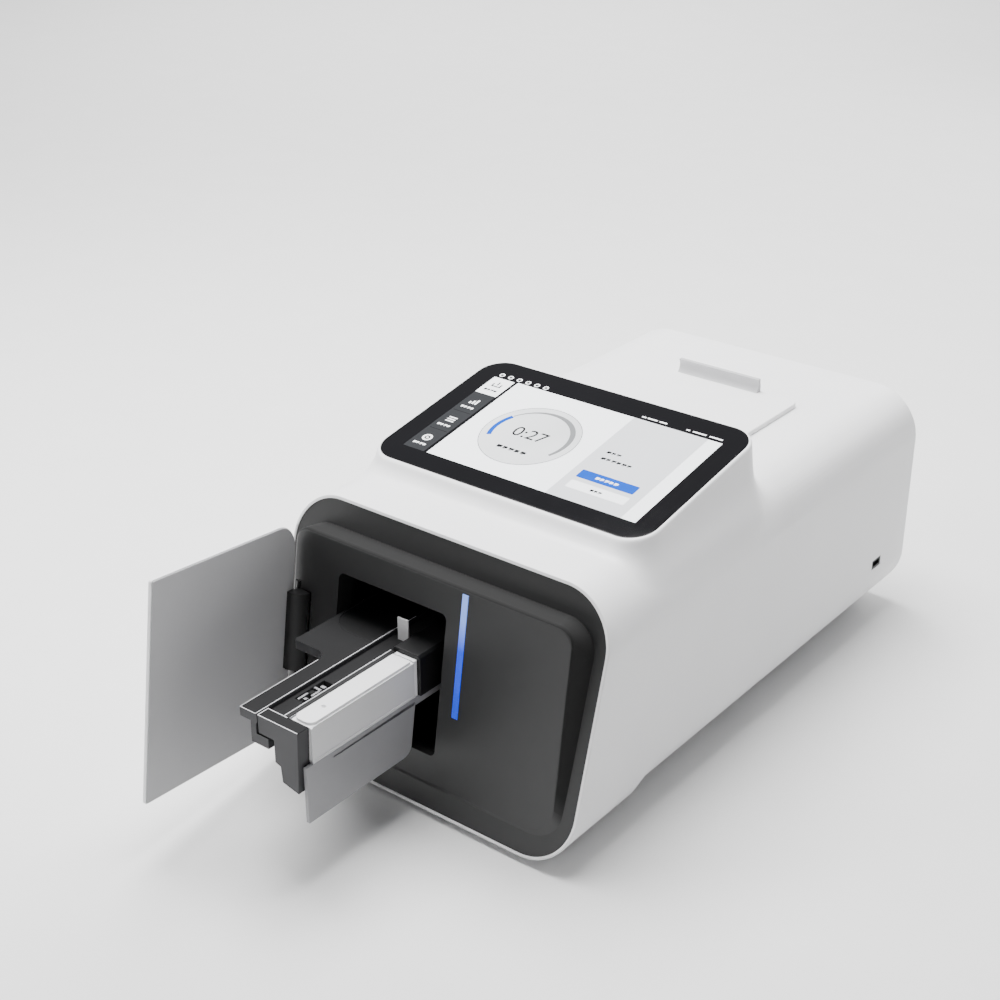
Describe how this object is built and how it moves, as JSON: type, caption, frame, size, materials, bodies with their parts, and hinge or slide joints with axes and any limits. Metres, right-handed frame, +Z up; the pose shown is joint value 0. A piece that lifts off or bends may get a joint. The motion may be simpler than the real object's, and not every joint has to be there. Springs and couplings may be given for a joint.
{
  "type": "nucleic acid detection system",
  "caption": "Bench nucleic acid analyser: white housing, sloping touch screen, dark front with hinged door, cartridge drawer and service lid.",
  "frame": {"origin": "middle of the base of the whole object's box, drawer out and door open as in the picture", "axes": "+Z up, +Y from the front towards the back, +X to the right as seen from the front"},
  "size_m": [0.3018, 0.6803, 0.2497],
  "materials": {
    "black_plastic": "matt black",
    "board_green": "coated circuit board",
    "bright_metal": "brushed",
    "cartridge_grey": "satin grey",
    "cartridge_white": "satin white",
    "dark_front": "fine matt, near black",
    "door_grey": "satin light grey",
    "filter_white": "pleated paper",
    "light_blue": "emissive light guide, blue",
    "rubber": "matt",
    "screen_black": "polished black glass front",
    "sheet_metal": "plain zinc grey",
    "skirt_grey": "satin grey",
    "steel": "brushed",
    "tab_grey": "satin grey",
    "tray_grey": "satin dark grey",
    "white_shell": "satin moulded, white"
  },
  "bodies": {
    "chassis": {"base_plate": "sheet_metal", "base_screws": "steel", "bay_back": "black_plastic", "bay_deck": "sheet_metal", "bay_roof": "black_plastic", "bay_side_left": "black_plastic", "bay_side_right": "black_plastic", "data_ports": "steel", "display_panel": "black_plastic", "door_hinge_pin": "steel", "drawer_rail": "steel", "drive_motor": "black_plastic", "fan_frame": "black_plastic", "filter_cartridge": "filter_white", "filter_tub": "black_plastic", "foot_front_left": "rubber", "foot_front_right": "rubber", "foot_rear_left": "rubber", "foot_rear_right": "rubber", "front_bezel": "dark_front", "heat_sink": "bright_metal", "heater_block": "bright_metal", "lid_hinge_pin": "steel", "light_bar": "light_blue", "light_board": "board_green", "main_board": "board_green", "main_housing": "white_shell", "optics_lens": "black_plastic", "optics_module": "black_plastic", "power_inlet": "black_plastic", "power_supply": "sheet_metal", "rear_panel": "sheet_metal", "rear_screws": "steel", "screen_glass": "screen_black", "screen_tray": "sheet_metal", "side_port": "black_plastic", "switch_frame": "black_plastic"},
    "drawer": {"cartridge_body": "cartridge_white", "cartridge_cap": "cartridge_white", "cartridge_cover": "cartridge_white", "cartridge_window": "cartridge_grey", "drawer_carriage": "bright_metal", "drawer_frame": "bright_metal", "drawer_front": "tray_grey", "drawer_skirt": "skirt_grey", "drawer_strip": "tray_grey", "drawer_tray": "tray_grey", "drive_screw": "steel", "label_plate": "cartridge_white", "rear_block": "black_plastic", "slide_plate": "black_plastic"},
    "door": {"door_leaf": "white_shell", "door_liner": "door_grey", "door_hinge_arm": "black_plastic"},
    "lid": {"service_lid": "white_shell", "lid_tab": "tab_grey"},
    "fan": {"fan_rotor": "black_plastic"},
    "rocker": {"power_rocker": "black_plastic"}
  },
  "joints": [
    {"name": "drawer_slide", "type": "slide", "parent": "chassis", "child": "drawer", "axis": [0, 1, 0], "range_m": [0, 0.155]},
    {"name": "door_swing", "type": "hinge", "parent": "chassis", "child": "door", "pos_m": [-0.126, -0.16279, 0.10468], "axis": [0, 0.1494, 0.9888], "range_deg": [0, 83]},
    {"name": "lid_hinge", "type": "hinge", "parent": "chassis", "child": "lid", "pos_m": [0, 0.12216, 0.2108], "axis": [1, 0, 0], "range_deg": [0, 100]},
    {"name": "rocker_press", "type": "hinge", "parent": "chassis", "child": "rocker", "pos_m": [-0.06, 0.33416, 0.052], "axis": [1, 0, 0], "range_deg": [-16, 0]},
    {"name": "fan_spin", "type": "hinge", "parent": "chassis", "child": "fan", "pos_m": [0.082, 0.32216, 0.11], "axis": [0, 1, 0], "continuous": true}
  ],
  "couplings": [
    {"joint": "door_swing", "follows": "drawer_slide", "rad_per_m": 9.346}
  ]
}
